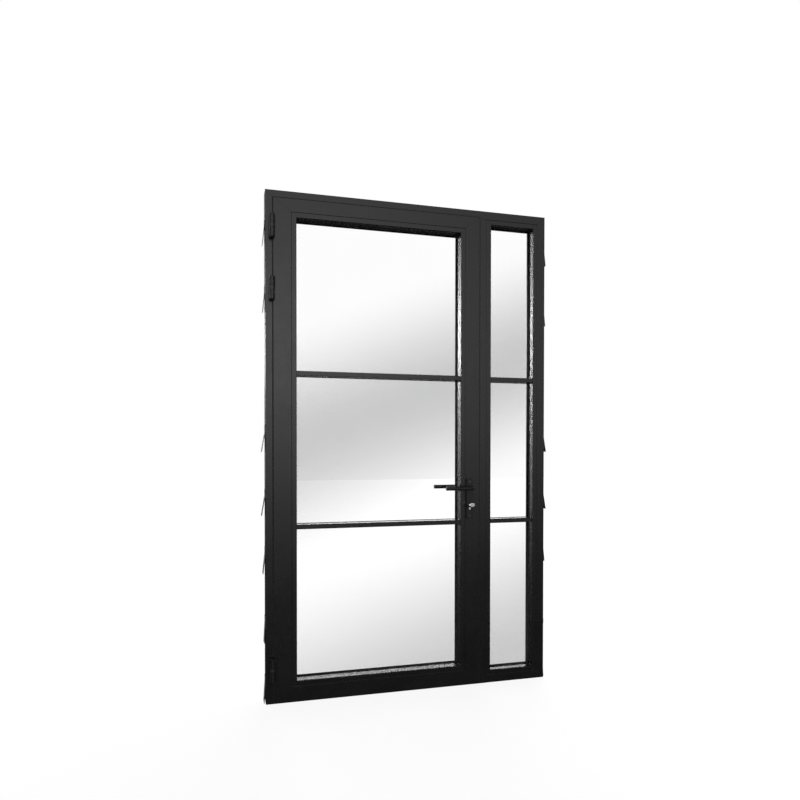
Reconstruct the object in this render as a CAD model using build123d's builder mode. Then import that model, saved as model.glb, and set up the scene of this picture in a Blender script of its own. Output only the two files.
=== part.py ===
"""Entrance door set: a hinged glazed leaf and a fixed sidelight in one aluminium frame.

Axes: +X to the right as seen from the side that the leaf opens towards, +Y away from that side, +Z up.
Origin: middle of the frame's width and depth, at its lowest face. Sizes in millimetres.
"""
from build123d import *
from math import atan2, cos, sin
import os

# ---------------------------------------------------------------- driving dimensions
door_width = 1440.0           # frame, outside
door_height = 2400.0
frame_depth = 70.0
wall = 2.0                    # extrusion walls and webs
frame_face = 41.0             # face of a frame member without its bead
mullion_face = 47.0
lip_thickness = 7.0           # rear stop of the frame
leaf_width = 1036.0
leaf_proud = 8.0              # leaf face stands in front of the frame face
leaf_overlap = 5.0            # leaf flange laps over the frame face
flange_thickness = 4.0
soft_edge = 1.5               # radius on the arrises of the extrusions
rebate_gap = 12.0             # hardware gap between leaf and frame
leaf_floor_gap = 3.0
hinge_stile_face = 109.0
lock_stile_face = 101.0
top_rail_face = 86.0
bottom_rail_face = 100.0
leaf_lip = 4.0                # rear glazing lip of the leaf
bead_face = 24.0              # glazing bead, also the width of every rear lip
bead_radius = 2.0
gasket = 4.0                  # glazing gasket thickness
gasket_width = 7.0
gasket_lip = 2.0              # how far a gasket shows past its bead
glass_cover = 17.0            # how far the glass goes into its rebate
pane = 6.0                    # one glass pane
cavity = 12.0                 # gap between two panes
bar_face = 22.0               # glazing bars
bar_setback = 4.0             # bar face stands behind the bead face
bar_edge = 1.5
panes_high = 3
threshold_height = 8.0
threshold_stop = 27.0
seal = 2.7                    # rear stop seal, proud of its lip
seal_shows = 4.0              # front stop seal, past the leaf's edge
spacer_depth, spacer_cover = 8.0, 3.0    # spacer bar, and how far it stays inside the glass edge
block_length = 100.0          # setting blocks under and beside the glass
sweep_thickness = 8.0
touch = 0.3                   # clearance between pieces that move apart
fit = 0.05                    # running clearance round pins and stems
# hinges
hinge_length = 106.0
barrel_radius = 12.0
pin_radius = 4.5
pin_out = 13.5                # pin axis in front of the leaf face
pin_side = 5.0                # pin axis outside the leaf edge
washer = 2.0
pin_head = 4.0
hinge_edge = 1.0
wing = 14.0                   # hinge half, from its pin axis sideways
hinge_from_top = (172.0, 459.0)
hinge_from_floor = 168.0
# lock and handles
backset = 40.0
lever_height = 1001.0
cylinder_drop = 85.0          # cylinder axis below the lever axis
plate_width, plate_height, plate_thickness = 34.0, 203.0, 10.0
plate_above = 47.0            # plate above the lever axis
plate_edge, plate_corner = 1.5, 5.0
plate_screw_inset = 16.0
lever_reach, lever_radius, lever_out = 139.0, 10.0, 45.0
lever_end = 1.5
collar_radius, collar_proud = 12.0, 3.0
spindle = 8.0
cylinder_radius, cylinder_tail, cylinder_depth, cylinder_proud = 8.5, 5.0, 33.0, 3.0
knob_length, knob_width, knob_thick, knob_neck = 30.0, 32.0, 24.0, 7.0
knob_edge = 4.0
keyway_width, keyway_height, keyway_depth = 1.4, 8.5, 20.0
bore_clearance = 0.5
stem_radius, stem_length = 4.0, 14.0
case_thickness, case_wall, case_height, case_back = 16.0, 1.5, 200.0, 13.0
faceplate_width, faceplate_height, faceplate_thickness = 22.0, 244.0, 3.0
strike_thickness = 2.5
plate_end_screw = 12.0        # faceplate and strike screws from the plate ends
keep_side, keep_end = 1.0, 2.0    # clearance of the keeps round their bolts
latch_height, latch_length, latch_throw = 20.0, 28.0, 16.0
bolt_height, bolt_length, bolt_throw, bolt_drop = 32.0, 30.0, 21.0, 55.0
bolt_thickness = 12.0
latch_bevel = 9.6
bolt_edge = 1.0
screw_radius, screw_head, screw_reach = 2.5, 4.5, 18.0
screw_socket, screw_proud = 1.8, 1.2
# fixing lugs
lug_width, lug_thickness, lug_foot, lug_drop = 50.0, 2.0, 28.0, 96.0
lug_hole_radius = 3.0
lug_tip_hole = 0.8            # lower hole, as a share of the drop
lug_tops = (2276.0, 1963.0, 1306.0, 1007.0, 733.0, 408.0, 125.0)
lug_leans = (10.0, 9.0, 16.0, 16.0, 10.0, 5.0, 6.0)    # how far each lug's tip is bent off the jamb

# ---------------------------------------------------------------- worked-out places
left = -door_width / 2
right = door_width / 2
face = -frame_depth / 2                      # frame's front face
back = frame_depth / 2
leaf_face = face - leaf_proud
flange_back = leaf_face + flange_thickness
lip_front = back - lip_thickness             # front of the frame's rear stop
leaf_rear = lip_front - seal - touch         # back of the leaf's rebated box
leaf_left = left + frame_face - leaf_overlap
leaf_right = leaf_left + leaf_width
leaf_top = door_height - frame_face + leaf_overlap
leaf_bottom = leaf_floor_gap
box_edge = leaf_overlap + rebate_gap         # leaf edge to the side of its box
rear_edge = leaf_overlap + bead_face + gasket  # leaf edge to its full-depth part
mullion_left = leaf_right - leaf_overlap
mullion_right = mullion_left + mullion_face
head_under = door_height - frame_face
unit = 2 * pane + cavity                     # insulating glass unit

leaf_unit_back = back - leaf_lip - gasket
leaf_unit_front = leaf_unit_back - unit
leaf_bead_back = leaf_unit_front - gasket
side_unit_back = lip_front - gasket
side_unit_front = side_unit_back - unit
side_bead_back = side_unit_front - gasket

# daylight openings: left, right, bottom, top
leaf_light = (leaf_left + hinge_stile_face, leaf_right - lock_stile_face,
              leaf_bottom + bottom_rail_face, leaf_top - top_rail_face)
side_light = (mullion_right + bead_face, right - frame_face - bead_face,
              frame_face + bead_face, head_under - bead_face)
leaf_pane_height = (leaf_light[3] - leaf_light[2]) / panes_high
bar_heights = [leaf_light[2] + leaf_pane_height * n for n in range(1, panes_high)]

hinge_x = leaf_left - pin_side
hinge_y = leaf_face - pin_out
hinge_heights = [door_height - drop for drop in hinge_from_top] + [hinge_from_floor]

stile_side = leaf_right - box_edge           # lock side of the leaf's box
lever_x = stile_side - backset
cylinder_z = lever_height - cylinder_drop
bolt_z = lever_height - bolt_drop
plate_z = lever_height + plate_above - plate_height / 2
case_y = (leaf_face + back) / 2              # middle plane of the lock
case_left = lever_x - case_back
case_right = stile_side - faceplate_thickness
case_z = plate_z

os.makedirs("parts", exist_ok=True)


# ---------------------------------------------------------------- helpers
def save(piece, name):
    piece.part.label = name
    export_step(piece.part, f"parts/{name}.step")


def slab(x0, x1, y0, y1, z0, z1, mode=Mode.ADD):
    """A straight block between two corners, in the part being built."""
    with Locations(((x0 + x1) / 2, (y0 + y1) / 2, (z0 + z1) / 2)):
        Box(x1 - x0, y1 - y0, z1 - z0, mode=mode)


def ring_sketch(light, outside, inside=0.0):
    """A rectangular ring round a daylight opening, on the current XZ sketch plane."""
    x_mid, z_mid = (light[0] + light[1]) / 2, (light[2] + light[3]) / 2
    wide, high = light[1] - light[0], light[3] - light[2]
    with Locations((x_mid, z_mid)):
        Rectangle(wide + 2 * outside, high + 2 * outside)
        Rectangle(wide + 2 * inside, high + 2 * inside, mode=Mode.SUBTRACT)


def standing(y):
    """The XZ plane at a depth, sketch X to the right, with extrusion towards -Y."""
    return Plane(origin=(0, y, 0), x_dir=(1, 0, 0), z_dir=(0, -1, 0))


def soften(sketch, corners, radius):
    """Round the named corners of the sketch being drawn."""
    chosen = [v for v in sketch.vertices() if any(abs(v.X - e) + abs(v.Y - d) < fit for e, d in corners)]
    fillet(chosen, radius)


def member(corner, inward, along, length, outline, chambers, start=(), end=(), soft=(), radius=soft_edge):
    """An extrusion whose section is drawn as (distance from its outer edge, depth).

    start and end are the mitre's corners as (distance inward, distance along); empty is a square cut.
    soft lists the corners of the outline that are rounded.
    """
    reach = max(point[0] for point in outline)
    across = Vector(*inward)
    run = Vector(*along)
    with BuildPart() as piece:
        with BuildSketch(Plane(origin=corner, x_dir=across, z_dir=run)) as section:
            with BuildLine():
                Polyline(*outline, close=True)
            make_face()
            if soft:
                soften(section, soft, radius)
            for e0, v0, e1, v1 in chambers:
                with Locations(((e0 + e1) / 2, (v0 + v1) / 2)):
                    Rectangle(e1 - e0, v1 - v0, mode=Mode.SUBTRACT)
        extrude(amount=length)
        if start or end:
            first = mitre_points(start, reach, 1)
            last = [(e, length - s) for e, s in mitre_points(end, reach, 1)]
            deep = Vector(*corner) + Vector(0, 2 * frame_depth, 0)
            with BuildSketch(Plane(origin=deep, x_dir=across, z_dir=(0, -1, 0))):
                with BuildLine():
                    Polyline(*first, *reversed(last), close=True)
                make_face()
            extrude(amount=4 * frame_depth, mode=Mode.INTERSECT)
    return piece


def mitre_points(corners, reach, beyond):
    """The cut line across a member's end, carried on past both of its edges."""
    if not corners:
        return [(-beyond, 0), (reach + beyond, 0)]
    e0, s0 = corners[0]
    points = [(-beyond, -beyond * s0 / e0), *corners]
    if len(corners) > 1:
        e1, s1 = corners[-1]
        ea, sa = corners[-2]
        slope = (s1 - sa) / (e1 - ea)
    else:
        slope = s0 / e0
        e1, s1 = e0, s0
    points.append((e1 + beyond, s1 + beyond * slope))
    return points


# ---------------------------------------------------------------- frame
frame_reach = frame_face + bead_face
frame_outline = [(0, face), (frame_face, face), (frame_face, lip_front), (frame_reach, lip_front),
                 (frame_reach, back), (0, back)]
web = (face + lip_front) / 2
frame_chambers = [(wall, face + wall, frame_face - wall, web - wall / 2),
                  (wall, web + wall / 2, frame_face - wall, lip_front),
                  (wall, lip_front + wall, frame_reach - wall, back - wall)]
square_mitre = [(frame_reach, frame_reach)]
frame_soft = [(0, face), (frame_face, face), (0, back), (frame_reach, back)]

hinge_jamb = member((left, 0, 0), (1, 0, 0), (0, 0, 1), door_height,
                    frame_outline, frame_chambers, end=square_mitre, soft=frame_soft)
save(hinge_jamb, "frame_hinge_jamb")

head = member((left, 0, door_height), (0, 0, -1), (1, 0, 0), door_width,
              frame_outline, frame_chambers, start=square_mitre, end=square_mitre, soft=frame_soft)
save(head, "frame_head")

far_jamb = member((right, 0, door_height), (-1, 0, 0), (0, 0, -1), door_height,
                  frame_outline, frame_chambers, start=square_mitre, end=square_mitre, soft=frame_soft)
save(far_jamb, "frame_far_jamb")

sill_length = right - mullion_right
with BuildPart() as sidelight_sill:
    add(member((right, 0, 0), (0, 0, 1), (-1, 0, 0), sill_length,
               frame_outline, frame_chambers, start=square_mitre, soft=frame_soft).part)
    slab(mullion_right, mullion_right + bead_face, lip_front, back, 0, frame_reach, mode=Mode.SUBTRACT)
save(sidelight_sill, "sidelight_sill")

with BuildPart() as mullion:
    with BuildSketch(Plane.XY) as mullion_section:
        with BuildLine():
            Polyline((mullion_left, face), (mullion_right, face), (mullion_right, lip_front),
                     (mullion_right + bead_face, lip_front), (mullion_right + bead_face, back),
                     (mullion_left - bead_face, back), (mullion_left - bead_face, lip_front),
                     (mullion_left, lip_front), close=True)
        make_face()
        soften(mullion_section, [(mullion_left, face), (mullion_right, face)], soft_edge)
        for y0, y1 in ((face + wall, web - wall / 2), (web + wall / 2, lip_front)):
            with Locations(((mullion_left + mullion_right) / 2, (y0 + y1) / 2)):
                Rectangle(mullion_face - 2 * wall, y1 - y0, mode=Mode.SUBTRACT)
        with Locations(((mullion_left + mullion_right) / 2, (lip_front + back) / 2)):
            Rectangle(mullion_face + 2 * bead_face - 2 * wall, lip_thickness - 2 * wall, mode=Mode.SUBTRACT)
    extrude(amount=head_under)
    slab(mullion_left - bead_face, mullion_right + bead_face, lip_front, back,
         head_under - bead_face, head_under, mode=Mode.SUBTRACT)
    # keeps behind the strike plate
    for height, size, throw in ((lever_height, latch_height, latch_throw), (bolt_z, bolt_height, bolt_throw)):
        slab(mullion_left, mullion_left + throw, case_y - bolt_thickness / 2 - keep_side,
             case_y + bolt_thickness / 2 + keep_side, height - size / 2 - keep_end,
             height + size / 2 + keep_end, mode=Mode.SUBTRACT)
save(mullion, "mullion")

with BuildPart() as threshold:
    jamb_side = left + frame_face
    slab(jamb_side, mullion_left, face, lip_front, 0, threshold_height)
    slab(jamb_side + wall, mullion_left - wall, face + wall, lip_front - wall,
         wall, threshold_height - wall, mode=Mode.SUBTRACT)
    slab(left + frame_reach, mullion_left - bead_face, lip_front, back, 0, threshold_stop)
save(threshold, "door_threshold")

# stop seals: one round the front of the rebate on three sides, one all round the rear stop
with BuildPart() as rebate_seal:
    front_light = (left + frame_face, mullion_left, leaf_bottom, head_under)
    lip_light = (left + frame_reach, mullion_left - bead_face, threshold_stop, head_under - bead_face)
    seal_width = leaf_overlap + seal_shows
    with BuildSketch(standing(face)):
        ring_sketch(front_light, seal_width)
        with Locations((0, front_light[2] - seal_width / 2)):
            Rectangle(2 * door_width, 2 * seal_width, mode=Mode.SUBTRACT)
    extrude(amount=leaf_proud - flange_thickness - touch)
    rear_seal_width = leaf_overlap + bead_face - box_edge - keep_side
    with BuildSketch(standing(lip_front)):
        ring_sketch(lip_light, rear_seal_width)
        with Locations((0, leaf_bottom + box_edge - rear_seal_width)):
            Rectangle(2 * door_width, 2 * rear_seal_width, mode=Mode.SUBTRACT)
    extrude(amount=seal)
save(rebate_seal, "rebate_seal")

# fixing lugs: flat foot on the jamb, then leaning out as they run down
with BuildPart() as fixing_lugs:
    for top, lug_lean in zip(lug_tops, lug_leans):
        lean = atan2(lug_lean, lug_drop)
        knee = lug_thickness * (1 - sin(lean)) / cos(lean)
        for side, jamb in ((-1, left), (1, right)):
            with BuildSketch(standing(lug_width / 2)):
                with BuildLine():
                    Polyline((jamb, top), (jamb, top - lug_foot),
                             (jamb + side * lug_lean, top - lug_foot - lug_drop),
                             (jamb + side * (lug_lean + lug_thickness * cos(lean)),
                              top - lug_foot - lug_drop + lug_thickness * sin(lean)),
                             (jamb + side * lug_thickness, top - lug_foot + knee * sin(lean)),
                             (jamb + side * lug_thickness, top), close=True)
                make_face()
            extrude(amount=lug_width)
            for drop in (lug_foot / 2, lug_foot + lug_tip_hole * lug_drop):
                with BuildSketch(Plane(origin=(jamb - side, 0, top - drop), x_dir=(0, 1, 0),
                                       z_dir=(side, 0, 0))):
                    Circle(lug_hole_radius)
                extrude(amount=2 * (lug_lean + lug_thickness), mode=Mode.SUBTRACT)
save(fixing_lugs, "fixing_lugs")

# ---------------------------------------------------------------- leaf
leaf_height = leaf_top - leaf_bottom
leaf_edges = (leaf_left, leaf_right, leaf_bottom, leaf_top)


def leaf_member(corner, inward, along, length, own, before, after):
    """A leaf extrusion of face width own, mitred to its neighbours' face widths."""
    floor = own - bead_face
    outline = [(0, leaf_face), (floor, leaf_face), (floor, back - leaf_lip), (own, back - leaf_lip),
               (own, back), (rear_edge, back), (rear_edge, leaf_rear), (box_edge, leaf_rear),
               (box_edge, flange_back), (0, flange_back)]
    inner_web = (leaf_face + leaf_rear) / 2
    chambers = [(box_edge + wall, leaf_face + wall, floor - wall, inner_web - wall / 2),
                (box_edge + wall, inner_web + wall / 2, floor - wall, leaf_rear - wall),
                (rear_edge + wall, leaf_rear, floor - wall, back - wall)]
    start = [(floor, before - bead_face), (own, before)]
    end = [(floor, after - bead_face), (own, after)]
    with BuildPart() as piece:
        add(member(corner, inward, along, length, outline, chambers, start, end,
                   soft=[(0, leaf_face), (floor, leaf_face), (own, back), (rear_edge, back)]).part)
        # both steps of the rebate run square round the leaf's corners
        for step, y0, y1 in ((box_edge, flange_back, leaf_rear), (rear_edge, leaf_rear, back)):
            with BuildSketch(standing(y1)):
                ring_sketch(leaf_edges, step, -step)
            extrude(amount=y1 - y0, mode=Mode.SUBTRACT)
    return piece


hinge_stile = leaf_member((leaf_left, 0, leaf_bottom), (1, 0, 0), (0, 0, 1), leaf_height,
                          hinge_stile_face, bottom_rail_face, top_rail_face)
save(hinge_stile, "leaf_hinge_stile")
top_rail = leaf_member((leaf_left, 0, leaf_top), (0, 0, -1), (1, 0, 0), leaf_width,
                       top_rail_face, hinge_stile_face, lock_stile_face)
save(top_rail, "leaf_top_rail")
bottom_rail = leaf_member((leaf_right, 0, leaf_bottom), (0, 0, 1), (-1, 0, 0), leaf_width,
                          bottom_rail_face, lock_stile_face, hinge_stile_face)
save(bottom_rail, "leaf_bottom_rail")


def euro_profile(grow=0.0):
    """Round barrel with a narrow tail below, on the current sketch."""
    radius = cylinder_radius + grow
    tail = cylinder_tail + grow
    tail_centre = cylinder_z + cylinder_radius - cylinder_depth + cylinder_tail
    with Locations((lever_x, cylinder_z)):
        Circle(radius)
    with Locations((lever_x, (cylinder_z + tail_centre) / 2)):
        Rectangle(2 * tail, cylinder_z - tail_centre)
    with Locations((lever_x, tail_centre)):
        Circle(tail)


with BuildPart() as lock_stile:
    add(leaf_member((leaf_right, 0, leaf_top), (-1, 0, 0), (0, 0, -1), leaf_height,
                    lock_stile_face, top_rail_face, bottom_rail_face).part)
    slab(case_left, stile_side, case_y - case_thickness / 2, case_y + case_thickness / 2,
         case_z - case_height / 2, case_z + case_height / 2, mode=Mode.SUBTRACT)
    slab(case_right, stile_side, case_y - faceplate_width / 2, case_y + faceplate_width / 2,
         case_z - faceplate_height / 2, case_z + faceplate_height / 2, mode=Mode.SUBTRACT)
    with BuildSketch(standing(back)):
        euro_profile(bore_clearance)
        with Locations((lever_x, lever_height)):
            Circle(collar_radius)
    extrude(amount=frame_depth + leaf_proud, mode=Mode.SUBTRACT)
save(lock_stile, "leaf_lock_stile")

with BuildPart() as bottom_sweep:
    slab(leaf_left + box_edge + rebate_gap, leaf_right - box_edge - rebate_gap,
         case_y - sweep_thickness / 2, case_y + sweep_thickness / 2,
         threshold_height + touch, leaf_bottom + box_edge)
save(bottom_sweep, "bottom_sweep")


# ---------------------------------------------------------------- glazing
def glaze(name, light, bead_front, bead_back, unit_front, unit_back, lip):
    """Insulating unit, gaskets, beads, bars and blocks of one opening."""
    rebate = (light[0] - bead_face, light[1] + bead_face, light[2] - bead_face, light[3] + bead_face)
    wide, high = rebate[1] - rebate[0], rebate[3] - rebate[2]
    inset = bead_face - glass_cover
    spacer_in = glass_cover - spacer_cover - spacer_depth

    for side, start in (("front", unit_front), ("back", unit_back - pane)):
        with BuildPart() as glass:
            slab(rebate[0] + inset, rebate[1] - inset, start, start + pane,
                 rebate[2] + inset, rebate[3] - inset)
        save(glass, f"{name}_pane_{side}")

    with BuildPart() as spacer:
        with BuildSketch(standing(unit_back - pane)):
            ring_sketch(light, glass_cover - spacer_cover, spacer_in)
        extrude(amount=cavity)
        for height in bar_heights:
            slab(light[0] - spacer_in, light[1] + spacer_in, unit_front + pane, unit_back - pane,
                 height - spacer_depth, height + spacer_depth)
    save(spacer, f"{name}_spacer")

    for side, start in (("front", unit_front), ("back", lip)):
        with BuildPart() as strip:
            with BuildSketch(standing(start)):
                ring_sketch(light, gasket_width, -gasket_lip)
            extrude(amount=gasket)
        save(strip, f"{name}_gasket_{side}")

    corners = (("left", (rebate[0], 0, rebate[2]), (1, 0, 0), (0, 0, 1), high),
               ("top", (rebate[0], 0, rebate[3]), (0, 0, -1), (1, 0, 0), wide),
               ("right", (rebate[1], 0, rebate[3]), (-1, 0, 0), (0, 0, -1), high),
               ("bottom", (rebate[1], 0, rebate[2]), (0, 0, 1), (-1, 0, 0), wide))
    bead_outline = [(0, bead_front), (bead_face, bead_front), (bead_face, bead_back), (0, bead_back)]
    bead_chamber = [(wall, bead_front + wall, bead_face - wall, bead_back - wall)]
    cut = [(bead_face, bead_face)]
    for side, corner, inward, along, length in corners:
        save(member(corner, inward, along, length, bead_outline, bead_chamber, cut, cut,
                    soft=bead_outline[:2], radius=bead_radius), f"{name}_bead_{side}")

    faces = (("front", bead_front + bar_setback, unit_front, (unit_front - gasket, unit_front)),
             ("back", unit_back, back, (unit_back, unit_back + gasket)))
    for side, y0, y1, strip in faces:
        with BuildPart() as bars:
            for height in bar_heights:
                slab(light[0], light[1], y0, y1, height - bar_face / 2, height + bar_face / 2)
                for x in (light[0], light[1] - gasket_lip):
                    slab(x, x + gasket_lip, *strip, height - bar_face / 2, height + bar_face / 2,
                         mode=Mode.SUBTRACT)
            outer = bars.faces().filter_by(Axis.Y).group_by(Axis.Y)[0 if side == "front" else -1]
            long_edges = [edge for edge in outer.edges() if edge.length > 2 * bar_face]
            chamfer(long_edges, bar_edge)
        save(bars, f"{name}_bars_{side}")

    with BuildPart() as blocks:
        half = block_length / 2
        for x in (light[0] + block_length, light[1] - block_length):
            slab(x - half, x + half, unit_front, unit_back, rebate[2], rebate[2] + inset)
            slab(x - half, x + half, unit_front, unit_back, rebate[3] - inset, rebate[3])
        for z in (light[2] + 2 * block_length, light[3] - 2 * block_length):
            slab(rebate[0], rebate[0] + inset, unit_front, unit_back, z - half, z + half)
            slab(rebate[1] - inset, rebate[1], unit_front, unit_back, z - half, z + half)
    save(blocks, f"{name}_setting_blocks")


glaze("leaf", leaf_light, leaf_face, leaf_bead_back, leaf_unit_front, leaf_unit_back, back - leaf_lip)
glaze("sidelight", side_light, face, side_bead_back, side_unit_front, side_unit_back, lip_front)

# ---------------------------------------------------------------- hinges
for place, height in zip(("top", "middle", "bottom"), hinge_heights):
    low, high = height - hinge_length / 2, height + hinge_length / 2
    lower_top = height - washer / 2
    upper_low = height + washer / 2 + 2 * fit
    with BuildPart() as frame_half:
        with BuildSketch(Plane.XY.offset(low)):
            with Locations((hinge_x, hinge_y)):
                Circle(barrel_radius)
            with Locations((hinge_x - wing / 2, (hinge_y + face) / 2)):
                Rectangle(wing, face - hinge_y)
            with Locations((hinge_x, hinge_y)):
                Circle(pin_radius, mode=Mode.SUBTRACT)
        extrude(amount=lower_top - low)
        bottom_rim = frame_half.faces().sort_by(Axis.Z)[0].outer_wire().edges()
        chamfer(bottom_rim, hinge_edge)
    save(frame_half, f"hinge_{place}_frame_half")

    with BuildPart() as leaf_half:
        with BuildSketch(Plane.XY.offset(upper_low)):
            with Locations((hinge_x, hinge_y)):
                Circle(barrel_radius)
            with Locations((hinge_x + wing / 2, (hinge_y + leaf_face) / 2)):
                Rectangle(wing, leaf_face - hinge_y)
            with Locations((hinge_x, hinge_y)):
                Circle(pin_radius + fit, mode=Mode.SUBTRACT)
        extrude(amount=high - pin_head - touch - upper_low)
    save(leaf_half, f"hinge_{place}_leaf_half")

with BuildPart() as hinge_pins:
    for height in hinge_heights:
        low, high = height - hinge_length / 2, height + hinge_length / 2
        with BuildSketch(Plane.XY.offset(low + pin_head)):
            with Locations((hinge_x, hinge_y)):
                Circle(pin_radius)
        extrude(amount=hinge_length - 2 * pin_head)
        with BuildSketch(Plane.XY.offset(high - pin_head)):
            with Locations((hinge_x, hinge_y)):
                Circle(barrel_radius)
        extrude(amount=pin_head)
    rims = hinge_pins.edges().filter_by(GeomType.CIRCLE).filter_by(lambda rim: rim.radius > pin_radius + fit)
    chamfer([rim for rim in rims if any(abs(rim.center().Z - height - hinge_length / 2) < fit
                                        for height in hinge_heights)], hinge_edge)
save(hinge_pins, "hinge_pins")

with BuildPart() as hinge_washers:
    for height in hinge_heights:
        with BuildSketch(Plane.XY.offset(height - washer / 2)):
            with Locations((hinge_x, hinge_y)):
                Circle(barrel_radius + washer / 4)
                Circle(pin_radius, mode=Mode.SUBTRACT)
        extrude(amount=washer)
save(hinge_washers, "hinge_washers")

# ---------------------------------------------------------------- lock
with BuildPart() as lock_case:
    slab(case_left, case_right, case_y - case_thickness / 2, case_y + case_thickness / 2,
         case_z - case_height / 2, case_z + case_height / 2)
    slab(case_left + case_wall, case_right, case_y - case_thickness / 2 + case_wall,
         case_y + case_thickness / 2 - case_wall, case_z - case_height / 2 + case_wall,
         case_z + case_height / 2 - case_wall, mode=Mode.SUBTRACT)
    with BuildSketch(standing(case_y + case_thickness / 2)):
        euro_profile(bore_clearance)
        with Locations((lever_x, lever_height)):
            Circle(spindle)
    extrude(amount=case_thickness, mode=Mode.SUBTRACT)
save(lock_case, "lock_case")

bolts = (("latch_bolt", lever_height, latch_height, latch_length),
         ("deadbolt", bolt_z, bolt_height, bolt_length))
with BuildPart() as faceplate:
    slab(case_right, stile_side, case_y - faceplate_width / 2, case_y + faceplate_width / 2,
         case_z - faceplate_height / 2, case_z + faceplate_height / 2)
    for name, height, size, length in bolts:
        slab(case_right, stile_side, case_y - bolt_thickness / 2 - touch, case_y + bolt_thickness / 2 + touch,
             height - size / 2 - touch, height + size / 2 + touch, mode=Mode.SUBTRACT)
    for end in (-1, 1):
        spot = case_z + end * (faceplate_height / 2 - plate_end_screw)
        with BuildSketch(Plane(origin=(stile_side, case_y, spot), x_dir=(0, 1, 0), z_dir=(-1, 0, 0))):
            Circle(screw_radius)
        extrude(amount=faceplate_thickness, mode=Mode.SUBTRACT)
save(faceplate, "lock_faceplate")

for name, height, size, length in bolts:
    with BuildPart() as bolt:
        slab(stile_side - touch - length, stile_side - touch, case_y - bolt_thickness / 2,
             case_y + bolt_thickness / 2, height - size / 2, height + size / 2)
        nose = bolt.faces().sort_by(Axis.X)[-1]
        if name == "latch_bolt":
            side = nose.edges().filter_by(Axis.Z).sort_by(Axis.Y)[0]
            chamfer(side, latch_bevel)
        else:
            chamfer(nose.edges(), bolt_edge)
    save(bolt, name)

with BuildPart() as strike_plate:
    slab(mullion_left - strike_thickness, mullion_left, case_y - faceplate_width / 2,
         case_y + faceplate_width / 2, case_z - faceplate_height / 2, case_z + faceplate_height / 2)
    for name, height, size, length in bolts:
        slab(mullion_left - strike_thickness, mullion_left, case_y - bolt_thickness / 2 - keep_side,
             case_y + bolt_thickness / 2 + keep_side, height - size / 2 - keep_end,
             height + size / 2 + keep_end, mode=Mode.SUBTRACT)
    for end in (-1, 1):
        spot = case_z + end * (faceplate_height / 2 - plate_end_screw)
        with BuildSketch(Plane(origin=(mullion_left, case_y, spot), x_dir=(0, 1, 0), z_dir=(-1, 0, 0))):
            Circle(screw_radius)
        extrude(amount=strike_thickness, mode=Mode.SUBTRACT)
save(strike_plate, "strike_plate")

with BuildPart() as lock_cylinder:
    barrel_front = leaf_face - plate_thickness - cylinder_proud
    barrel_back = back + plate_thickness + cylinder_proud
    with BuildSketch(standing(barrel_back)):
        euro_profile()
    extrude(amount=barrel_back - barrel_front)
    with BuildSketch(standing(barrel_front + stem_length)):
        with Locations((lever_x, cylinder_z)):
            Circle(stem_radius + fit)
    extrude(amount=stem_length, mode=Mode.SUBTRACT)
    with BuildSketch(standing(barrel_back)):
        with Locations((lever_x, cylinder_z)):
            Rectangle(keyway_width, keyway_height)
    extrude(amount=keyway_depth, mode=Mode.SUBTRACT)
save(lock_cylinder, "lock_cylinder")

with BuildPart() as thumb_turn:
    knob_front = barrel_front - touch
    with BuildSketch(standing(barrel_front + stem_length - touch)):
        with Locations((lever_x, cylinder_z)):
            Circle(stem_radius)
    extrude(amount=stem_length)
    with BuildSketch(standing(knob_front)):
        with Locations((lever_x, cylinder_z)):
            Circle(cylinder_radius - bore_clearance)
    extrude(amount=knob_neck)
    with BuildSketch(Plane(origin=(lever_x, knob_front - knob_neck, cylinder_z), x_dir=(1, 0, 0),
                           z_dir=(0, -1, 0))):
        Ellipse(knob_width / 2, knob_thick / 2)
    extrude(amount=knob_length - knob_neck)
    fillet(thumb_turn.faces().sort_by(Axis.Y)[0].edges(), knob_edge)
save(thumb_turn, "thumb_turn")

# ---------------------------------------------------------------- handles
sides = (("outside", leaf_face, -1), ("inside", back, 1))
for side, surface, out in sides:
    outward = Plane(origin=(0, surface, 0), x_dir=(1, 0, 0), z_dir=(0, -1, 0))
    with BuildPart() as plate:
        with BuildSketch(outward):
            with Locations((lever_x, plate_z)):
                RectangleRounded(plate_width, plate_height, plate_corner)
        extrude(amount=-out * plate_thickness)
        rim = plate.faces().sort_by(Axis.Y)[0 if out < 0 else -1].edges()
        fillet(rim, plate_edge)
        with BuildSketch(outward):
            euro_profile(touch)
            with Locations((lever_x, lever_height)):
                Circle(collar_radius + touch)
            for end in (-1, 1):
                with Locations((lever_x, plate_z + end * (plate_height / 2 - plate_screw_inset))):
                    Circle(screw_radius)
        extrude(amount=-out * plate_thickness, mode=Mode.SUBTRACT)
    save(plate, f"backplate_{side}")

    with BuildPart() as lever:
        elbow = (lever_x, surface + out * lever_out, lever_height)
        for radius, length in ((collar_radius, plate_thickness + collar_proud), (lever_radius, lever_out)):
            with BuildSketch(Plane(origin=(lever_x, surface + out * touch, lever_height), x_dir=(1, 0, 0),
                                   z_dir=(0, out, 0))):
                Circle(radius)
            extrude(amount=length - touch)
        with Locations(elbow):
            Sphere(lever_radius)
        with BuildSketch(Plane(origin=elbow, x_dir=(0, 1, 0), z_dir=(-1, 0, 0))):
            Circle(lever_radius)
        extrude(amount=lever_reach)
        fillet(lever.faces().sort_by(Axis.X)[0].edges(), lever_end)
        with BuildSketch(Plane(origin=(lever_x, surface, lever_height), x_dir=(1, 0, 0), z_dir=(0, out, 0))):
            Rectangle(spindle, spindle)
        extrude(amount=2 * plate_thickness, mode=Mode.SUBTRACT)
    save(lever, f"lever_{side}")

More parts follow.
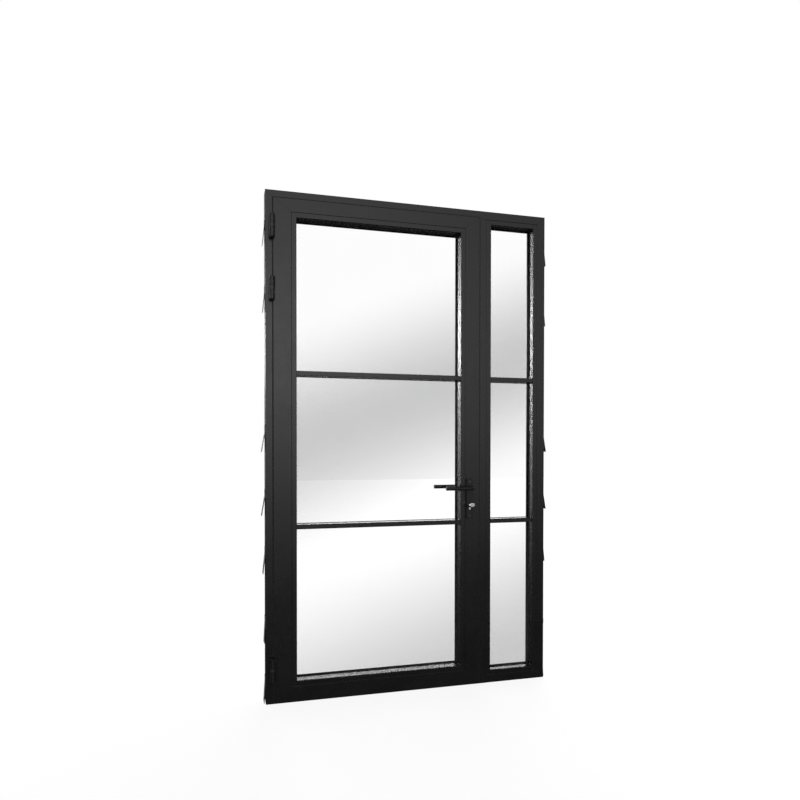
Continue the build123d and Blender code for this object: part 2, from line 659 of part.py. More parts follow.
with BuildPart() as spindle_bar:
    slab(lever_x - spindle / 2, lever_x + spindle / 2, leaf_face - 2 * plate_thickness,
         back + 2 * plate_thickness, lever_height - spindle / 2, lever_height + spindle / 2)
save(spindle_bar, "spindle")


# ---------------------------------------------------------------- screws
with BuildPart() as leaf_screws:
    for side, surface, out in sides:
        for end in (-1, 1):
            z = plate_z + end * (plate_height / 2 - plate_screw_inset)
            with BuildSketch(Plane(origin=(lever_x, surface + out * plate_thickness, z), x_dir=(1, 0, 0),
                                   z_dir=(0, out, 0))):
                Circle(screw_head)
                RegularPolygon(screw_socket, 6, mode=Mode.SUBTRACT)
            extrude(amount=screw_proud)
            with BuildSketch(Plane(origin=(lever_x, surface + out * plate_thickness, z), x_dir=(1, 0, 0),
                                   z_dir=(0, -out, 0))):
                Circle(screw_radius)
            extrude(amount=plate_thickness)
    for end in (-1, 1):
        spot = case_z + end * (faceplate_height / 2 - plate_end_screw)
        with BuildSketch(Plane(origin=(stile_side, case_y, spot), x_dir=(0, 1, 0), z_dir=(-1, 0, 0))):
            Circle(screw_radius)
        extrude(amount=screw_reach)
        with BuildSketch(Plane(origin=(stile_side, case_y, spot), x_dir=(0, 1, 0), z_dir=(1, 0, 0))):
            Circle(screw_head)
        extrude(amount=screw_proud)
save(leaf_screws, "leaf_screws")

with BuildPart() as strike_screws:
    for end in (-1, 1):
        spot = case_z + end * (faceplate_height / 2 - plate_end_screw)
        with BuildSketch(Plane(origin=(mullion_left - strike_thickness, case_y, spot), x_dir=(0, 1, 0),
                               z_dir=(1, 0, 0))):
            Circle(screw_radius)
        extrude(amount=strike_thickness)
        with BuildSketch(Plane(origin=(mullion_left - strike_thickness, case_y, spot), x_dir=(0, 1, 0),
                               z_dir=(-1, 0, 0))):
            Circle(screw_head)
        extrude(amount=screw_proud)
save(strike_screws, "strike_screws")
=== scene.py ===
"""Entrance door set: materials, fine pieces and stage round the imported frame.

Lengths are in metres, angles in radians. +X is to the right seen from the side that the leaf opens towards,
+Y away from that side and +Z up.
"""
import math

import bmesh
import bpy
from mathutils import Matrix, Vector


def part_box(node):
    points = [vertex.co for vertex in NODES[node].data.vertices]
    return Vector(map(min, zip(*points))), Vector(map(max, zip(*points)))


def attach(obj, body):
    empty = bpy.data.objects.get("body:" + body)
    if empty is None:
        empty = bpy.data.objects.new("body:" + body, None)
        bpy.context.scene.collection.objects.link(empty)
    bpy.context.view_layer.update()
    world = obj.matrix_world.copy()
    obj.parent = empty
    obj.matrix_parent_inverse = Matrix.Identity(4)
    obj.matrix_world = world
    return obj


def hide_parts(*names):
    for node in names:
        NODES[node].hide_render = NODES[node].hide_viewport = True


bl_info = {
    "name": "Glass Door",
    "version": (1, 0, 0),
    "blender": (4, 5, 0),
    "location": "View3D > Sidebar > Glass Door",
    "description": "Finishes a glazed door leaf with its frame and sidelight",
    "category": "Object",
}

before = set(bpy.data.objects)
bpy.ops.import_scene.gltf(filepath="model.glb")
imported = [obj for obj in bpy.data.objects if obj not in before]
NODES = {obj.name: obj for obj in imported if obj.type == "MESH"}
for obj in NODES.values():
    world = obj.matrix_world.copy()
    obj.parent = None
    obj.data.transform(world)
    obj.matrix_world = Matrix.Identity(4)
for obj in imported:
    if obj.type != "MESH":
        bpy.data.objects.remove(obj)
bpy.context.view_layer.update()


def names_with(*words):
    """The CAD nodes whose name holds one of these words."""
    return [name for name in sorted(NODES) if any(word in name for word in words)]


# ---------------------------------------------------------------- shader maths
class Signal:
    """One output socket of a shader tree, on which arithmetic adds Math nodes."""

    def __init__(self, tree, socket):
        self.tree = tree
        self.socket = socket

    def _math(self, operation, *values):
        return self.tree.add("ShaderNodeMath", {"operation": operation}, *values)

    def __add__(self, other):
        return self._math("ADD", self, other)

    def __radd__(self, other):
        return self._math("ADD", other, self)

    def __sub__(self, other):
        return self._math("SUBTRACT", self, other)

    def __rsub__(self, other):
        return self._math("SUBTRACT", other, self)

    def __mul__(self, other):
        return self._math("MULTIPLY", self, other)

    def __rmul__(self, other):
        return self._math("MULTIPLY", other, self)

    def folded(self, period):
        return self._math("PINGPONG", self, period)

    def size(self):
        return self._math("ABSOLUTE", self)

    def ramp(self, low, high, to_low=0.0, to_high=1.0, smooth=True):
        """This value's stretch from low to high, mapped to to_low ... to_high and held beyond."""
        kind = "SMOOTHSTEP" if smooth else "LINEAR"
        return self.tree.add("ShaderNodeMapRange", {"interpolation_type": kind},
                             self, low, high, to_low, to_high)


class Tree:
    """A node tree being written: add() makes any node from its type, settings and input values."""

    def __init__(self, tree):
        self.tree = tree
        self.tree.nodes.clear()

    def add(self, kind, settings=None, *values, output=0, **named):
        node = self.tree.nodes.new(kind)
        for key, value in (settings or {}).items():
            if key == "stops":
                self._stops(node.color_ramp, value)
            else:
                setattr(node, key, value)
        pairs = list(enumerate(values)) + [(key.replace("_", " "), value) for key, value in named.items()]
        for key, value in pairs:
            self._feed(node.inputs[key], value)
        return Signal(self, node.outputs[output])

    def _feed(self, socket, value):
        if isinstance(value, Signal):
            self.tree.links.new(value.socket, socket)
        elif value is not None:
            socket.default_value = value

    @staticmethod
    def _stops(ramp, stops):
        for element in list(ramp.elements)[1:]:
            ramp.elements.remove(element)
        ramp.elements[0].position, ramp.elements[0].color = stops[0]
        for place, colour in stops[1:]:
            ramp.elements.new(place).color = colour

    def place(self):
        """Position in the door's own frame: every object's origin is the door's."""
        return self.add("ShaderNodeTexCoord", output="Object")

    def axis(self, vector, name):
        return self.add("ShaderNodeSeparateXYZ", None, vector, output=name)

    def noise(self, scale, detail=2.0, vector=None):
        return self.add("ShaderNodeTexNoise", None, Vector=vector or self.place(), Scale=scale,
                        Detail=detail, output="Fac")

    def stretched(self, x, y, z):
        """The place with its axes scaled, for grain that runs along one of them."""
        return self.add("ShaderNodeVectorMath", {"operation": "MULTIPLY"}, self.place(), (x, y, z))

    def blend(self, factor, one, other):
        """Two colours mixed by a factor."""
        node = self.tree.nodes.new("ShaderNodeMix")
        node.data_type = "RGBA"
        for socket, value in ((0, factor), (6, one), (7, other)):
            self._feed(node.inputs[socket], value)
        return Signal(self, node.outputs[2])

    def bump(self, height, distance, strength):
        return self.add("ShaderNodeBump", None, Strength=strength, Distance=distance, Height=height)


def finish(name, **constant):
    """A new material with its tree and a Principled shader whose plain values are set."""
    material = bpy.data.materials.new(name)
    material.use_nodes = True
    tree = Tree(material.node_tree)
    shader = tree.tree.nodes.new("ShaderNodeBsdfPrincipled")
    out = tree.tree.nodes.new("ShaderNodeOutputMaterial")
    tree.tree.links.new(shader.outputs[0], out.inputs[0])
    for key, value in constant.items():
        shader.inputs[key.replace("_", " ")].default_value = value
    return material, tree, shader


def drive(tree, shader, **varying):
    for key, value in varying.items():
        tree._feed(shader.inputs[key.replace("_", " ")], value)


def shades(colour, lighter):
    """A colour and its lighter variant, each with an alpha."""
    return (*colour, 1.0), (*[channel * lighter for channel in colour], 1.0)


# ---------------------------------------------------------------- materials
COAT_VARIES = 1.25         # lightest part of a finish over its plain colour
HARDWARE_VARIES = 1.5
STEEL_VARIES = 1.35
GLASS_RIM = 0.12           # haze that glass gains towards a grazing view
GLASS_DUST = 0.006
RIM_BLEND = 0.25
SPACER_PITCH = 0.003       # half the distance between the spacer's vent holes


def powder_coat(settings):
    material, tree, shader = finish("powder coat", Specular_IOR_Level=settings.coat_gloss)
    peel = tree.noise(scale=900.0, detail=3.0)
    cloud = tree.noise(scale=3.0, detail=2.0)
    tone = tree.blend(cloud, *shades(settings.coat_colour, COAT_VARIES))
    broad = (tree.noise(scale=9.0, detail=3.0) - 0.5) * 0.14
    fine = (tree.noise(scale=45.0, detail=2.0) - 0.5) * 0.07
    rough = settings.coat_roughness + broad + fine
    drive(tree, shader, Base_Color=tone, Roughness=rough,
          Normal=tree.bump(peel, distance=0.00012, strength=0.35))
    return material


def hardware_coat(settings):
    material, tree, shader = finish("satin hardware black", Specular_IOR_Level=0.4)
    grain = tree.noise(scale=1400.0, detail=2.0)
    rough = 0.34 + tree.noise(scale=40.0, detail=3.0) * 0.12
    tone = tree.blend(tree.noise(scale=25.0), *shades(settings.coat_colour, HARDWARE_VARIES))
    drive(tree, shader, Base_Color=tone, Roughness=rough,
          Normal=tree.bump(grain, distance=0.00008, strength=0.3))
    return material


def float_glass(settings, carries_painted_sheen):
    """Clear glass; panes that carry the painted sheen get soft diagonal bands of painted reflection, a grey
    veil in the alpha, that run on from pane to pane.
    """
    material, tree, shader = finish("float glass" if carries_painted_sheen else "rear float glass", IOR=1.5,
                                    Roughness=0.03)
    place = tree.place()
    climb = tree.axis(place, "Z") - tree.axis(place, "X") * settings.sheen_slope
    middle, clear, end = settings.sheen_middle, settings.sheen_clear, settings.sheen_end
    # painted reflection: upper and lower bands of grey veil, fixed on the door and cast by no lamp or
    # surround
    band = climb.ramp(clear, middle) * (1.0 - climb.ramp(middle, 2 * middle - clear))
    low = 1.0 - climb.ramp(end, clear)
    rim = tree.add("ShaderNodeLayerWeight", None, RIM_BLEND, output="Fresnel")
    sheen = (band + low) * (settings.sheen if carries_painted_sheen else 0.0)
    dust = tree.noise(scale=2.2, detail=1.0) * GLASS_DUST
    # the alpha lays the painted reflection bands over the dark base colour, with the grazing rim and dust
    # added
    drive(tree, shader, Base_Color=(0.06, 0.066, 0.065, 1.0), Alpha=sheen + rim * GLASS_RIM + dust)
    return material


def rubber():
    material, tree, shader = finish("gasket rubber", Specular_IOR_Level=0.35)
    rough = 0.62 + tree.noise(scale=60.0, detail=3.0) * 0.2
    drive(tree, shader, Base_Color=(0.008, 0.008, 0.008, 1.0), Roughness=rough,
          Normal=tree.bump(tree.noise(scale=700.0, detail=3.0), distance=0.0001, strength=0.4))
    return material


def brushed_steel(name="brushed steel", tone=(0.46, 0.45, 0.43)):
    material, tree, shader = finish(name, Metallic=1.0)
    lines = tree.noise(scale=900.0, detail=3.0, vector=tree.stretched(1.0, 1.0, 0.04))
    rough = 0.28 + lines * 0.18
    drive(tree, shader, Base_Color=tree.blend(lines, *shades(tone, STEEL_VARIES)),
          Roughness=rough, Normal=tree.bump(lines, distance=0.00005, strength=0.4))
    return material


def zinc_coat():
    material, tree, shader = finish("hot-dip zinc", Metallic=0.6)
    flake = tree.add("ShaderNodeTexVoronoi", {"feature": "F1"}, Vector=tree.place(), Scale=160.0,
                     output="Color")
    tone = tree.blend(tree.axis(flake, "X"), (0.02, 0.02, 0.021, 1.0), (0.08, 0.08, 0.083, 1.0))
    drive(tree, shader, Base_Color=tone, Roughness=0.5 + tree.noise(scale=90.0, detail=3.0) * 0.2,
          Normal=tree.bump(tree.noise(scale=220.0, detail=3.0), distance=0.0001, strength=0.4))
    return material


def polished_nickel():
    material, tree, shader = finish("polished nickel", Metallic=1.0)
    wipe = tree.noise(scale=600.0, detail=4.0, vector=tree.stretched(1.0, 0.15, 1.0))
    drive(tree, shader, Base_Color=tree.blend(wipe, (0.78, 0.76, 0.72, 1.0), (0.9, 0.88, 0.85, 1.0)),
          Roughness=0.1 + wipe * 0.1)
    return material


def moulded_plastic():
    material, tree, shader = finish("moulded plastic")
    tone = tree.blend(tree.noise(scale=30.0), (0.05, 0.05, 0.055, 1.0), (0.07, 0.07, 0.075, 1.0))
    drive(tree, shader, Base_Color=tone, Roughness=0.5 + tree.noise(scale=200.0) * 0.1)
    return material


def dark_spacer():
    material, tree, shader = finish("spacer strip", Metallic=0.6)
    holes = tree.axis(tree.place(), "Z").folded(SPACER_PITCH).ramp(0.0002, 0.0006)
    drive(tree, shader, Base_Color=tree.blend(holes, (0.004, 0.004, 0.004, 1.0), (0.03, 0.03, 0.03, 1.0)),
          Roughness=0.45)
    return material


def give(material, *nodes):
    for name in nodes:
        mesh = NODES[name].data
        mesh.materials.clear()
        mesh.materials.append(material)


# ---------------------------------------------------------------- shapes
SHARP_ANGLE = math.radians(35)
ROUND_SIDES = 40
SCREW_SIDES = 36           # a multiple of six, so that the socket keeps its corners
SCREW_RIM = 0.15           # chamfer of a screw head, as a share of its radius


def piece(name, form, material, body, stands_for=()):
    """A shown piece from a filled bmesh: smooth but for its sharp edges, moving with a body."""
    bmesh.ops.recalc_face_normals(form, faces=form.faces)
    mesh = bpy.data.meshes.new(name)
    form.to_mesh(mesh)
    form.free()
    mesh.polygons.foreach_set("use_smooth", [True] * len(mesh.polygons))
    mesh.set_sharp_from_angle(angle=SHARP_ANGLE)
    mesh.materials.append(material)
    shown = bpy.data.objects.new(name, mesh)
    bpy.context.scene.collection.objects.link(shown)
    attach(shown, body)
    if stands_for:
        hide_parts(*stands_for)


def skin(form, loops, closed=False):
    """Quads between one loop of corners and the next."""
    pairs = list(zip(loops, loops[1:]))
    if closed:
        pairs.append((loops[-1], loops[0]))
    for one, other in pairs:
        for k in range(len(one)):
            form.faces.new((one[k - 1], one[k], other[k], other[k - 1]))


def sweep_round(form, light, outline):
    """Carries a closed outline of (outward, depth) points round an upright rectangle, with mitred corners."""
    left, right, low, high = light
    corners = ((-1, -1, left, low), (1, -1, right, low), (1, 1, right, high), (-1, 1, left, high))
    loops = [[form.verts.new((x + sx * outward, depth, z + sz * outward)) for outward, depth in outline]
             for sx, sz, x, z in corners]
    skin(form, loops, closed=True)


def turned(form, centre, axis, profile):
    """Turns (radius, height) points round an axis and closes the last ring with a face."""
    axis = Vector(axis)
    across = axis.orthogonal().normalized()
    up = axis.cross(across)
    loops = []
    for radius, height in profile:
        ring = []
        for k in range(ROUND_SIDES):
            angle = math.tau * k / ROUND_SIDES
            side = across * math.cos(angle) + up * math.sin(angle)
            ring.append(form.verts.new(Vector(centre) + side * radius + axis * height))
        loops.append(ring)
    skin(form, loops)
    form.faces.new(loops[-1])


def socket_screw(form, centre, axis, radius, proud, socket):
    """A round screw head with a chamfered rim and a hexagonal socket."""
    axis = Vector(axis)
    across = axis.orthogonal().normalized()
    up = axis.cross(across)
    rim = SCREW_RIM * radius

    def ring(size, height, hexagon=False):
        corners = []
        for k in range(SCREW_SIDES):
            angle = math.tau * k / SCREW_SIDES
            reach = size / math.cos((angle + math.pi / 6) % (math.pi / 3) - math.pi / 6) if hexagon else size
            side = across * math.cos(angle) + up * math.sin(angle)
            corners.append(form.verts.new(Vector(centre) + side * reach + axis * height))
        return corners

    loops = [ring(radius, -proud), ring(radius, proud - rim), ring(radius - rim, proud),
             ring(socket, proud, True), ring(socket, -proud, True)]
    skin(form, loops)
    form.faces.new(loops[-1])


def seam(form, path, depth, width, proud):
    """A thin dark joint line along a path of (x, z) points on an upright face."""
    for (x0, z0), (x1, z1) in zip(path, path[1:]):
        along = Vector((x1 - x0, z1 - z0)).normalized()
        side = Vector((-along.y, along.x)) * width / 2
        flat = [(x0 + side.x, z0 + side.y), (x1 + side.x, z1 + side.y), (x1 - side.x, z1 - side.y),
                (x0 - side.x, z0 - side.y)]
        loops = [[form.verts.new((x, y, z)) for x, z in flat] for y in (depth - proud, depth + proud)]
        skin(form, loops)
        for loop in loops:
            form.faces.new(loop)


def edges_of(*nodes):
    """Left, right, low and high edge of some nodes taken together."""
    boxes = [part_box(node) for node in nodes]
    return (min(low[0] for low, _ in boxes), max(high[0] for _, high in boxes),
            min(low[2] for low, _ in boxes), max(high[2] for _, high in boxes))


def corners_of(edges, inset=0.0):
    left, right, low, high = edges
    return [(left + inset, high - inset), (right - inset, high - inset), (right - inset, low + inset),
            (left + inset, low + inset)]


# ---------------------------------------------------------------- properties
class GlassDoorSettings(bpy.types.PropertyGroup):
    """Finishes of the door set."""

    coat_colour: bpy.props.FloatVectorProperty(
        name="Coat colour", description="Colour of the powder coat", subtype="COLOR", size=3,
        default=(0.0045, 0.0045, 0.0048), min=0.0, max=1.0)
    coat_roughness: bpy.props.FloatProperty(
        name="Coat roughness", description="Roughness of the powder coat", default=0.27,
        min=0.0, max=1.0, subtype="FACTOR")
    coat_gloss: bpy.props.FloatProperty(
        name="Coat gloss", description="Reflection strength of the powder coat", default=0.5,
        min=0.0, max=1.0, subtype="FACTOR")
    # The glass sheen is a painted reflection: these set the strength, slope and band heights of its grey
    # bands.
    sheen: bpy.props.FloatProperty(
        name="Glass sheen", description="Strongest haze of the diagonal sheen on the glass", default=0.25,
        min=0.0, max=1.0, subtype="FACTOR")
    sheen_slope: bpy.props.FloatProperty(
        name="Sheen slope", description="Climb of a sheen band for each metre to the right", default=0.375)
    sheen_middle: bpy.props.FloatProperty(
        name="Sheen middle", description="Height of the upper band's darkest line", default=1.44,
        unit="LENGTH")
    sheen_clear: bpy.props.FloatProperty(
        name="Sheen clear", description="Height of the clear line between both bands", default=0.83,
        unit="LENGTH")
    sheen_end: bpy.props.FloatProperty(
        name="Sheen end", description="Height of the lower band's darkest line", default=-0.1, unit="LENGTH")
    gasket_lip: bpy.props.FloatProperty(
        name="Gasket lip", description="How far a gasket shows past its bead", default=0.002, unit="LENGTH")
    joint_width: bpy.props.FloatProperty(
        name="Joint width", description="Width of the hairline joints", default=0.0005, unit="LENGTH")
    cap_height: bpy.props.FloatProperty(
        name="Cap height", description="Height of the domed hinge caps", default=0.0025, unit="LENGTH")
    set_screw: bpy.props.FloatProperty(
        name="Set screw", description="Diameter of the hinge set screws", default=0.005, unit="LENGTH")


class GlassDoorStage(bpy.types.PropertyGroup):
    """Floor, lights and camera."""

    floor_size: bpy.props.FloatProperty(
        name="Floor size", description="Edge of the square floor", default=40.0, unit="LENGTH")
    camera_place: bpy.props.FloatVectorProperty(
        name="Camera place", description="Where the camera stands", default=(-0.929, -2.789, 1.191),
        subtype="TRANSLATION", unit="LENGTH")
    camera_yaw: bpy.props.FloatProperty(
        name="Camera yaw", description="Turn to the right of straight ahead", default=math.radians(13.54),
        subtype="ANGLE")
    camera_pitch: bpy.props.FloatProperty(
        name="Camera pitch", description="Tilt up from level", default=math.radians(-0.68), subtype="ANGLE")


# ---------------------------------------------------------------- fixed sizes
GASKET_HIDDEN = 0.007      # part of a gasket that its bead covers
LIP_STEPS = 6              # facets of a gasket's rounded lip
JOINT_PROUD = 0.00006      # how far a joint line stands off its face
SCREW_PROUD = 0.0004
# outline of a hinge's domed cap: share of the barrel's radius, share of the cap's height
CAP_OUTLINE = ((0.9, -0.5), (0.9, 0.3), (0.8, 0.75), (0.62, 0.95), (0.4, 1.0))

# ---------------------------------------------------------------- stage light
# brightness of the surround by the sine of the height angle, in front of the door and behind it
FRONT_GLOW = ((-0.36, 0.01), (-0.24, 0.03), (-0.12, 0.36), (0.03, 1.3), (0.18, 1.5), (0.3, 1.15),
              (0.5, 0.9), (0.8, 0.2))
BEHIND_GLOW = ((-0.3, 0.05), (-0.18, 0.15), (0.0, 1.1), (0.09, 3.6), (0.16, 24.0), (0.21, 14.0),
               (0.27, 1.2), (0.5, 0.8))
LAMP_GLOW = 1.1            # broad lamp on the left of the front
FLOOR_DROP = 0.0005        # floor below the door's lowest face
FLOOR_GLOW = 0.92
# name, place, edge in metres and power in watts
SOFTBOXES = (("key softbox", (-2.6, -3.2, 3.4), 1.8, 8.0), ("rear softbox", (2.4, 3.4, 3.0), 2.0, 15.0))
SOFTBOX_AIM = Vector((0.0, 0.0, 1.1))
SENSOR_WIDTH = 36.0        # millimetres, as is the lens
LENS = 26.38
LENS_SHIFT = (0.0494, 0.0713)


# ---------------------------------------------------------------- operators
class GLASSDOOR_OT_extrusions(bpy.types.Operator):
    """Powder coat on the frame, leaf, beads and bars"""

    bl_idname = "glass_door.extrusions"
    bl_label = "Extrusions"

    def execute(self, context):
        coat = powder_coat(context.scene.glass_door)
        give(coat, *names_with("frame_h", "frame_far", "mullion", "threshold", "sill", "stile", "rail"))
        give(coat, *names_with("bead_", "bars_"))
        return {"FINISHED"}


class GLASSDOOR_OT_glass(bpy.types.Operator):
    """Panes of the leaf and the sidelight, with their spacers and blocks"""

    bl_idname = "glass_door.glass"
    bl_label = "Glass"

    def execute(self, context):
        settings = context.scene.glass_door
        for opening in ("leaf", "sidelight"):
            # the front pane carries the painted reflection bands; the back pane carries none
            give(float_glass(settings, True), f"{opening}_pane_front")
            give(float_glass(settings, False), f"{opening}_pane_back")
            give(dark_spacer(), f"{opening}_spacer")
            give(moulded_plastic(), f"{opening}_setting_blocks")
        return {"FINISHED"}


class GLASSDOOR_OT_seals(bpy.types.Operator):
    """Glazing gaskets, stop seals and the bottom sweep"""

    bl_idname = "glass_door.seals"
    bl_label = "Seals"

    def execute(self, context):
        settings = context.scene.glass_door
        black = rubber()
        give(black, *names_with("gasket", "seal", "sweep"))
        for opening, body in (("leaf", "leaf"), ("sidelight", "frame")):
            for side, towards_glass in (("front", 1), ("back", -1)):
                node = f"{opening}_gasket_{side}"
                form = bmesh.new()
                sweep_round(form, *self.lipped(node, towards_glass, settings.gasket_lip))
                piece(f"{opening}_{side}_gasket", form, black, body, stands_for=[node])
        return {"FINISHED"}

    @staticmethod
    def lipped(node, towards_glass, lip):
        """The daylight edges and the outline of a gasket whose lip curves down on to the glass."""
        low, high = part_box(node)
        thick = high[1] - low[1]
        glass = high[1] if towards_glass > 0 else low[1]
        left, right, bottom, top = edges_of(node)
        light = (left + GASKET_HIDDEN, right - GASKET_HIDDEN, bottom + GASKET_HIDDEN, top - GASKET_HIDDEN)
        curve = []
        for k in range(LIP_STEPS + 1):
            turn = math.pi / 2 * k / LIP_STEPS
            curve.append((-lip * math.cos(turn), glass - towards_glass * thick * math.sin(turn)))
        outline = [(GASKET_HIDDEN, glass), *curve, (GASKET_HIDDEN, glass - towards_glass * thick)]
        return light, outline


class GLASSDOOR_OT_joints(bpy.types.Operator):
    """Hairline joints where the mitred extrusions and beads meet"""

    bl_idname = "glass_door.joints"
    bl_label = "Joints"

    def execute(self, context):
        settings = context.scene.glass_door
        dark = rubber()
        leaf_face, leaf_back = (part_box("leaf_hinge_stile")[end][1] for end in (0, 1))
        frame_face, frame_back = (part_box("frame_hinge_jamb")[end][1] for end in (0, 1))
        leaf = edges_of("leaf_hinge_stile", "leaf_lock_stile")
        leaf_beads = edges_of(*names_with("leaf_bead"))
        leaf_light = edges_of("leaf_bars_front")[:2] + self.light_heights("leaf")
        side_beads = edges_of(*names_with("sidelight_bead"))
        side_light = edges_of("sidelight_bars_front")[:2] + self.light_heights("sidelight")
        outside = edges_of("frame_hinge_jamb", "frame_far_jamb")
        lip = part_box("frame_far_jamb")

        form = bmesh.new()
        rings = [corners_of(edges) for edges in (leaf, leaf_beads, leaf_light)]
        for path in zip(*rings):
            seam(form, path, leaf_face, settings.joint_width, JOINT_PROUD)
            seam(form, path[1:], leaf_back, settings.joint_width, JOINT_PROUD)
        piece("leaf_joints", form, dark, "leaf")

        form = bmesh.new()
        for path in zip(corners_of(side_beads), corners_of(side_light)):
            seam(form, path, frame_face, settings.joint_width, JOINT_PROUD)
        outer = corners_of(outside, settings.joint_width)
        inner = corners_of(outside, outside[1] - side_beads[1])
        deep = corners_of(outside, lip[1][0] - lip[0][0])
        # three mitres: the frame's fourth corner, at the foot of the hinge jamb, is a square cut
        for depth, ends in ((frame_face, inner), (frame_back, deep)):
            for path in list(zip(outer, ends))[:3]:
                seam(form, path, depth, settings.joint_width, JOINT_PROUD)
        piece("frame_joints", form, dark, "frame")
        return {"FINISHED"}

    @staticmethod
    def light_heights(opening):
        """Lower and upper edge of an opening's daylight, from its beads."""
        low, high = (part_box(f"{opening}_bead_{side}") for side in ("bottom", "top"))
        return low[1][2], high[0][2]


class GLASSDOOR_OT_hardware(bpy.types.Operator):
    """Hinges, handles, lock and fixings"""

    bl_idname = "glass_door.hardware"
    bl_label = "Hardware"

    def execute(self, context):
        settings = context.scene.glass_door
        coat = hardware_coat(settings)
        give(coat, *names_with("_half", "pins", "lever", "backplate"))
        give(brushed_steel(), *names_with("lock_case", "faceplate", "strike", "bolt", "spindle"))
        dark_steel = brushed_steel("blackened steel", tone=(0.09, 0.09, 0.092))
        give(dark_steel, "leaf_screws")
        give(moulded_plastic(), "hinge_washers")
        self.hinge_fittings(settings, coat, dark_steel)
        give(polished_nickel(), "lock_cylinder", "thumb_turn")
        give(zinc_coat(), "fixing_lugs")
        return {"FINISHED"}

    def hinge_fittings(self, settings, coat, dark_steel):
        """Domed end caps and the set screws that hold each hinge on its pin."""
        low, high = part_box("hinge_washers")
        axis_x, axis_y = (low[0] + high[0]) / 2, (low[1] + high[1]) / 2
        caps, screws = bmesh.new(), {"frame": bmesh.new(), "leaf": bmesh.new()}
        for place in ("top", "middle", "bottom"):
            lower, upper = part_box(f"hinge_{place}_frame_half"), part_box(f"hinge_{place}_leaf_half")
            radius = axis_y - lower[0][1]
            dome = [(radius * share, settings.cap_height * rise) for share, rise in CAP_OUTLINE]
            turned(caps, (axis_x, axis_y, lower[0][2]), (0, 0, -1), dome)
            for body, half in (("frame", lower), ("leaf", upper)):
                spot = (axis_x, axis_y - radius, (half[0][2] + half[1][2]) / 2)
                socket_screw(screws[body], spot, (0, -1, 0), settings.set_screw / 2, SCREW_PROUD,
                             settings.set_screw / 4)
        piece("hinge_end_caps", caps, coat, "frame")
        for body, form in screws.items():
            piece(f"hinge_set_screws_{body}", form, dark_steel, body)


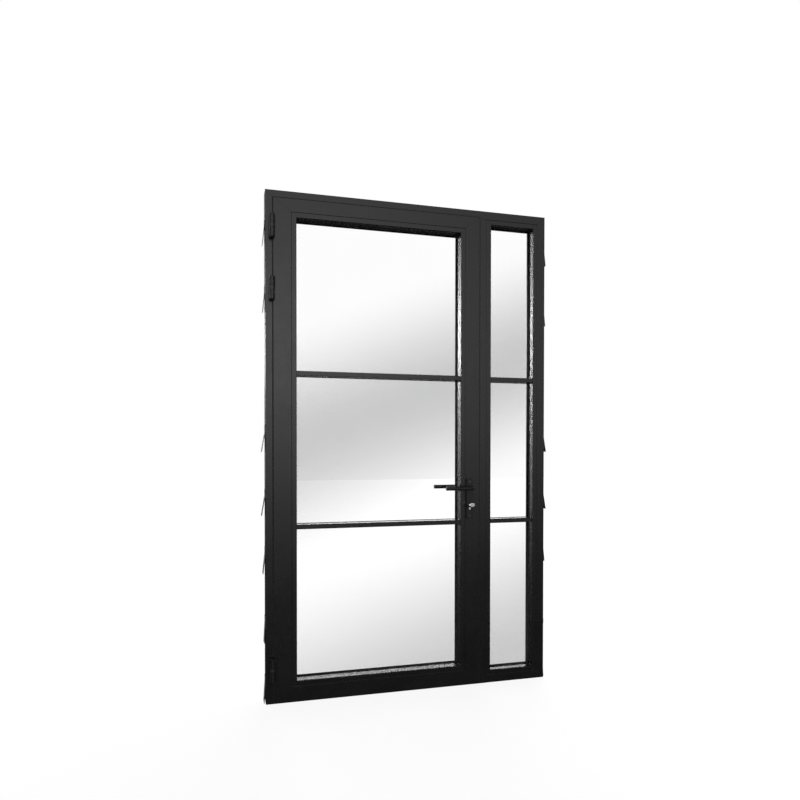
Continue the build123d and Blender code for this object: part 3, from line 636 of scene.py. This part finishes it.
class GLASSDOOR_OT_stage(bpy.types.Operator):
    """Floor, soft surround, lights and camera"""

    bl_idname = "glass_door.stage"
    bl_label = "Stage"

    def execute(self, context):
        stage = context.scene.glass_door_stage
        self.floor(stage)
        self.surround(context.scene)
        self.lights(context.scene)
        self.camera(context.scene, stage)
        context.scene.view_settings.view_transform = "Standard"
        return {"FINISHED"}

    def floor(self, stage):
        half = stage.floor_size / 2
        mesh = bpy.data.meshes.new("floor")
        corners = [(-half, -half, 0), (half, -half, 0), (half, half, 0), (-half, half, 0)]
        mesh.from_pydata([(x, y, z - FLOOR_DROP) for x, y, z in corners], [], [(0, 1, 2, 3)])
        floor = bpy.data.objects.new("floor", mesh)
        bpy.context.scene.collection.objects.link(floor)
        material, tree, shader = finish("pale floor", Roughness=0.8, Emission_Strength=FLOOR_GLOW)
        drive(tree, shader, Base_Color=(0.04, 0.04, 0.04, 1.0),
              Emission_Color=tree.blend(tree.noise(scale=2.0), (0.99, 0.99, 0.99, 1.0), (1.0, 1.0, 1.0, 1.0)))
        mesh.materials.append(material)
        floor.visible_glossy = False

    def surround(self, scene):
        world = bpy.data.worlds.new("studio")
        scene.world = world
        world.use_nodes = True
        tree = Tree(world.node_tree)
        way = tree.add("ShaderNodeTexCoord", output="Generated")
        rise, side, depth = (tree.axis(way, name) for name in "ZXY")
        front = self.glow(tree, rise, FRONT_GLOW) * side.ramp(0.2, 0.6, 1.0, 0.4, smooth=False)
        lamp = (1.0 - side.ramp(0.12, 0.34)) * rise.ramp(0.04, 0.17) * (1.0 - rise.ramp(0.2, 0.3))
        front = front + lamp * LAMP_GLOW
        front = front * side.size().ramp(0.55, 0.85, 1.0, 0.2)
        window = side.ramp(-0.8, -0.6) * (1.0 - side.ramp(-0.34, -0.24))
        upper = self.glow(tree, rise, FRONT_GLOW) * rise.ramp(0.2, 0.35, 1.0, 4.0)
        upper = upper * side.ramp(0.03, 0.12, 0.03, 1.0)
        behind = self.glow(tree, rise, BEHIND_GLOW) * window + upper * (1.0 - window)
        far = depth.ramp(-0.1, 0.3)
        level = front * (1.0 - far) + behind * far
        seen = tree.add("ShaderNodeLightPath", output="Is Camera Ray")
        backdrop = tree.add("ShaderNodeBackground", None, (1.0, 1.0, 1.0, 1.0), level * (1.0 - seen) + seen)
        out = tree.tree.nodes.new("ShaderNodeOutputWorld")
        tree.tree.links.new(backdrop.socket, out.inputs[0])

    @staticmethod
    def glow(tree, rise, levels):
        """Brightness by the sine of the height angle, as given in (sine, brightness) pairs."""
        peak = max(value for _, value in levels)
        stops = [((sine + 1) / 2, (value / peak,) * 3 + (1.0,)) for sine, value in levels]
        return tree.add("ShaderNodeValToRGB", {"stops": stops}, (rise + 1.0) * 0.5) * peak

    def lights(self, scene):
        for name, place, size, power in SOFTBOXES:
            data = bpy.data.lights.new(name, "AREA")
            data.size = size
            data.energy = power
            lamp = bpy.data.objects.new(name, data)
            lamp.location = place
            aim = SOFTBOX_AIM - Vector(place)
            lamp.rotation_euler = aim.to_track_quat("-Z", "Y").to_euler()
            scene.collection.objects.link(lamp)

    def camera(self, scene, stage):
        data = bpy.data.cameras.new("camera")
        data.sensor_width = SENSOR_WIDTH
        data.lens = LENS
        data.shift_x, data.shift_y = LENS_SHIFT
        camera = bpy.data.objects.new("camera", data)
        camera.location = stage.camera_place
        camera.rotation_euler = (math.pi / 2 + stage.camera_pitch, 0.0, -stage.camera_yaw)
        scene.collection.objects.link(camera)
        scene.camera = camera


class GLASSDOOR_PT_panel(bpy.types.Panel):
    """Lists the door's operators and finishes"""

    bl_idname = "GLASSDOOR_PT_panel"
    bl_label = "Glass Door"
    bl_space_type = "VIEW_3D"
    bl_region_type = "UI"
    bl_category = "Glass Door"

    def draw(self, context):
        for name in ("coat_colour", "coat_roughness", "coat_gloss", "sheen"):
            self.layout.prop(context.scene.glass_door, name)
        for operator in OPERATORS:
            self.layout.operator(operator.bl_idname)


OPERATORS = (GLASSDOOR_OT_extrusions, GLASSDOOR_OT_glass, GLASSDOOR_OT_seals, GLASSDOOR_OT_joints,
             GLASSDOOR_OT_hardware, GLASSDOOR_OT_stage)
CLASSES = (GlassDoorSettings, GlassDoorStage, *OPERATORS, GLASSDOOR_PT_panel)


def register():
    for item in CLASSES:
        bpy.utils.register_class(item)
    bpy.types.Scene.glass_door = bpy.props.PointerProperty(type=GlassDoorSettings)
    bpy.types.Scene.glass_door_stage = bpy.props.PointerProperty(type=GlassDoorStage)


def unregister():
    del bpy.types.Scene.glass_door_stage
    del bpy.types.Scene.glass_door
    for item in reversed(CLASSES):
        bpy.utils.unregister_class(item)


def main():
    register()
    bpy.ops.glass_door.extrusions()
    bpy.ops.glass_door.glass()
    bpy.ops.glass_door.seals()
    bpy.ops.glass_door.joints()
    bpy.ops.glass_door.hardware()
    bpy.ops.glass_door.stage()


if __name__ == "__main__":
    main()
